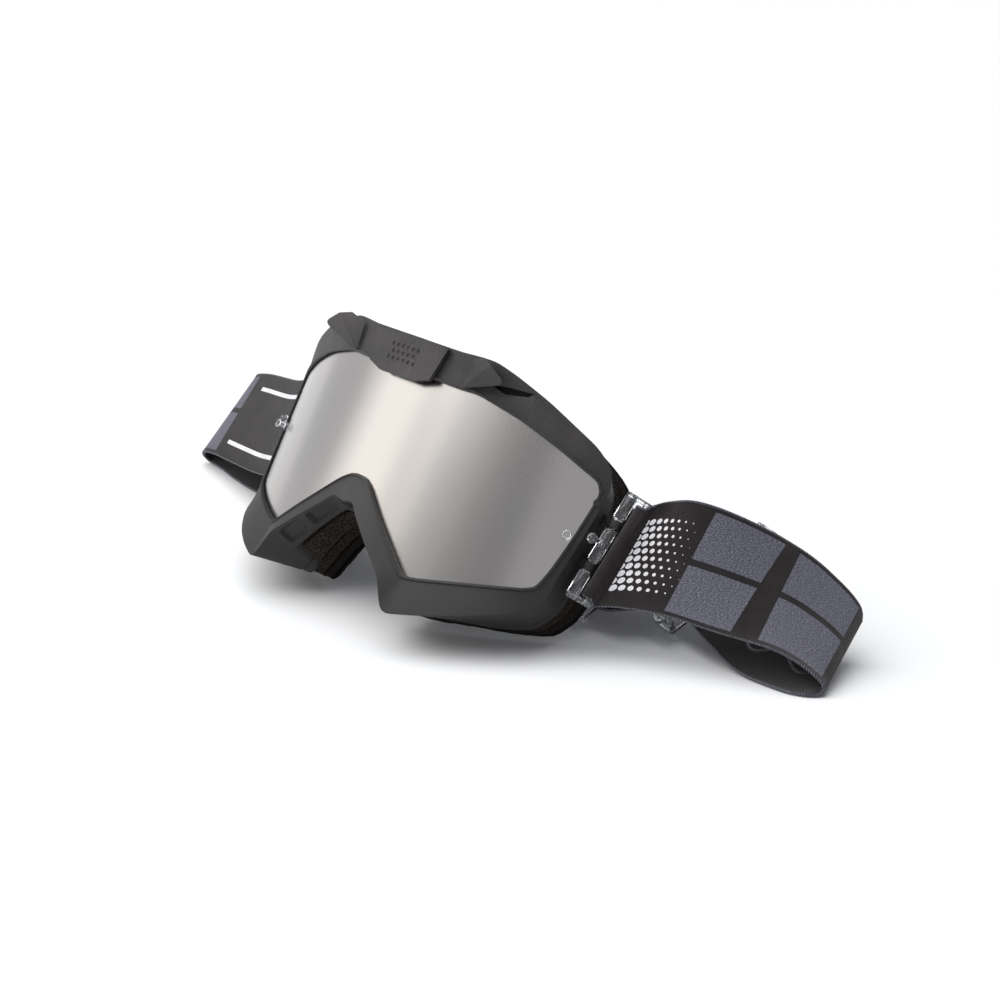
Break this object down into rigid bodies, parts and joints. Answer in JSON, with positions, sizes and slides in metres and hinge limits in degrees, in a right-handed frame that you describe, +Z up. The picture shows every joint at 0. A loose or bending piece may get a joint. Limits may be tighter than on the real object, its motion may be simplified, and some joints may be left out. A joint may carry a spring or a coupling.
{
  "type": "motorcycle goggles",
  "caption": "Off-road riding goggles with a bent mirror lens in an angular frame, layered face foam, hinged clear outriggers and a wide webbing strap with tri-glide sliders.",
  "frame": {"origin": "middle of the footprint, on the surface that the goggles lie on", "axes": "+Z up from the surface, +X across the face to the viewer's right, +Y from the lens towards the strap"},
  "size_m": [0.34, 0.1324, 0.0993],
  "materials": {
    "frame_plastic": "fine matte texture, charcoal",
    "lens_mirror": "silver mirror coating on a bent plastic lens",
    "clear_plastic": "clear moulded polycarbonate",
    "foam_dark": "open-cell foam, brown-black",
    "foam_middle": "denser open-cell foam",
    "fleece": "brushed fleece facing",
    "strap_webbing": "fine twill elastic webbing with overlocked edges",
    "strap_lining": "plain inner face of the webbing"
  },
  "bodies": {
    "goggles": {"frame": "frame_plastic", "lens": "lens_mirror", "lens_post_left": "clear_plastic", "lens_post_right": "clear_plastic", "brow_badge": "frame_plastic", "brow_scoop_left": "frame_plastic", "brow_scoop_right": "frame_plastic", "foam_base": "foam_dark", "foam_middle": "foam_middle", "foam_fleece": "fleece", "strap_right": "strap_webbing", "strap_rear": "strap_webbing", "strap_left": "strap_webbing", "strap_tail": "strap_lining"},
    "outrigger_left": {"outrigger_left": "clear_plastic", "strap_hem_left": "strap_webbing"},
    "outrigger_right": {"outrigger_right": "clear_plastic", "strap_hem_right": "strap_webbing"},
    "slider_end": {"slider_end": "clear_plastic"},
    "slider_length": {"slider_length": "clear_plastic"}
  },
  "joints": [
    {"name": "outrigger_right_hinge", "type": "hinge", "parent": "goggles", "child": "outrigger_right", "pos_m": [0.08654, -0.00451, 0.03877], "axis": [0.1253, 0.5937, 0.7949], "range_deg": [-8, 40], "deforming": ["strap_right"]},
    {"name": "outrigger_left_hinge", "type": "hinge", "parent": "goggles", "child": "outrigger_left", "pos_m": [-0.08246, -0.00451, 0.03877], "axis": [-0.1253, 0.5937, 0.7949], "range_deg": [-40, 8], "deforming": ["strap_left"]},
    {"name": "slider_end_slide", "type": "slide", "parent": "goggles", "child": "slider_end", "axis": [-0.9895, 0.0437, 0.1381], "range_m": [-0.003, 0.003], "deforming": ["strap_rear", "strap_tail"]},
    {"name": "slider_length_slide", "type": "slide", "parent": "goggles", "child": "slider_length", "axis": [-0.9747, 0.2208, -0.0358], "range_m": [-0.003, 0.005]}
  ]
}
